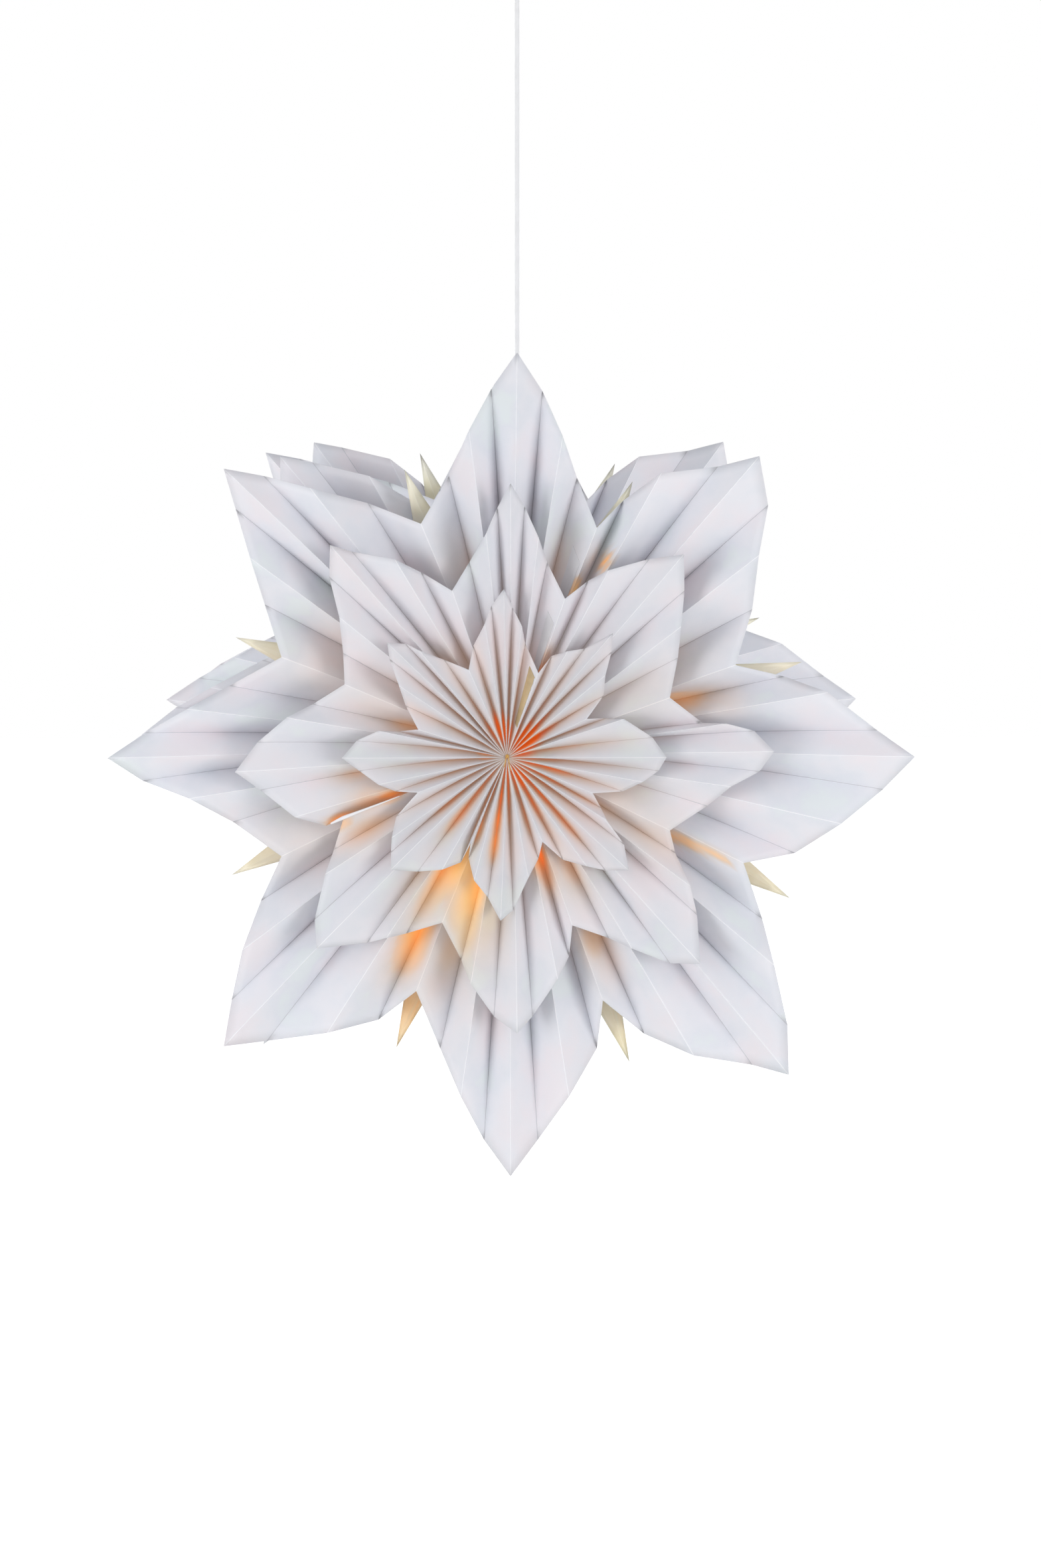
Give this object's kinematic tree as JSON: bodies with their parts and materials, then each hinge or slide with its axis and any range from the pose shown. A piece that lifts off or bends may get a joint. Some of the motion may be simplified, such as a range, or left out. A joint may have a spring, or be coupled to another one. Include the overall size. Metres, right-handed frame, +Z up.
{
  "type": "pleated paper star pendant light",
  "caption": "Layered eight-pointed star of pleated white paper with cream spikes and a warm bulb inside, hung on a straight white cord from a ceiling cup.",
  "frame": {"origin": "in the ceiling face of the strap, on the cord's axis", "axes": "+Z up into the ceiling, -Y the way the front of the star faces, +X to the right seen from the front"},
  "size_m": [0.764, 0.3411, 1.184],
  "materials": {
    "white_paper": "matt white pleated paper, slightly cool",
    "cream_paper": "matt cream paper",
    "hub_card": "plain grey-white card",
    "closing_tape": "thin translucent brown adhesive tape",
    "golden_thread": "twisted golden cotton thread",
    "white_cord": "smooth white flexible cord",
    "white_plastic": "semi-gloss white moulded plastic",
    "clear_nylon": "natural nylon",
    "holder_ceramic": "unglazed white ceramic",
    "brass": "plain brass",
    "nickel": "nickel plated",
    "zinc_steel": "zinc plated",
    "white_steel": "white powder coat",
    "wire_insulation": "brown and blue wire insulation",
    "bulb_insulator": "black glass insulator with a tin contact",
    "bulb_glass": "clear glass with a warm tint",
    "filament": "yellow phosphor coated filament, lit"
  },
  "bodies": {
    "base": {"ceiling_strap": "zinc_steel", "cord_anchor": "white_plastic", "anchor_screw": "zinc_steel", "terminal_block": "white_plastic", "terminal_screws": "brass", "feed_wires": "wire_insulation", "cord": "white_cord"},
    "cup": {"ceiling_cup": "white_plastic", "cup_grip": "white_plastic", "grip_nut": "white_plastic"},
    "cup_screw": {"grip_screw": "clear_nylon"},
    "star": {"holder_cap": "white_plastic", "holder_skirt": "white_plastic", "holder_insert": "holder_ceramic", "holder_thread_shell": "brass", "holder_contact": "brass", "carrier_bracket": "white_steel", "front_hub_disc": "hub_card", "front_thread_tie": "golden_thread", "front_inner_star": "white_paper", "front_spike_star": "cream_paper", "front_large_star": "white_paper", "front_medium_star": "white_paper", "front_small_star": "white_paper", "front_closing_tapes": "closing_tape", "rear_hub_disc": "hub_card", "rear_thread_tie": "golden_thread", "rear_large_star": "white_paper", "rear_spike_star": "cream_paper", "rear_inner_star": "white_paper", "rear_medium_star": "white_paper", "rear_small_star": "white_paper", "rear_closing_tapes": "closing_tape"},
    "holder_screw": {"holder_grip_screw": "clear_nylon"},
    "shade_ring": {"shade_ring": "white_plastic"},
    "bulb": {"bulb_base": "nickel", "bulb_contact": "bulb_insulator", "bulb_glass": "bulb_glass", "bulb_stem": "bulb_glass", "bulb_filaments": "filament"}
  },
  "joints": [
    {"name": "cup_slide", "type": "slide", "parent": "base", "child": "cup", "axis": [0, 0, 1], "range_m": [-0.15, 0]},
    {"name": "cup_screw_turn", "type": "hinge", "parent": "cup", "child": "cup_screw", "pos_m": [0.01, 0, -0.0533], "axis": [1, 0, 0], "range_deg": [0, 720]},
    {"name": "star_swivel", "type": "hinge", "parent": "base", "child": "star", "pos_m": [0, 0, -0.822], "axis": [0, 0, 1], "range_deg": [-180, 180]},
    {"name": "holder_screw_turn", "type": "hinge", "parent": "star", "child": "holder_screw", "pos_m": [0.005, 0, -0.8265], "axis": [1, 0, 0], "range_deg": [0, 720]},
    {"name": "shade_ring_turn", "type": "hinge", "parent": "star", "child": "shade_ring", "pos_m": [0, 0, -0.866], "axis": [0, 0, -1], "range_deg": [0, 1080]},
    {"name": "bulb_turn", "type": "hinge", "parent": "star", "child": "bulb", "pos_m": [0, 0, -0.922], "axis": [0, 0, -1], "range_deg": [0, 720]}
  ]
}
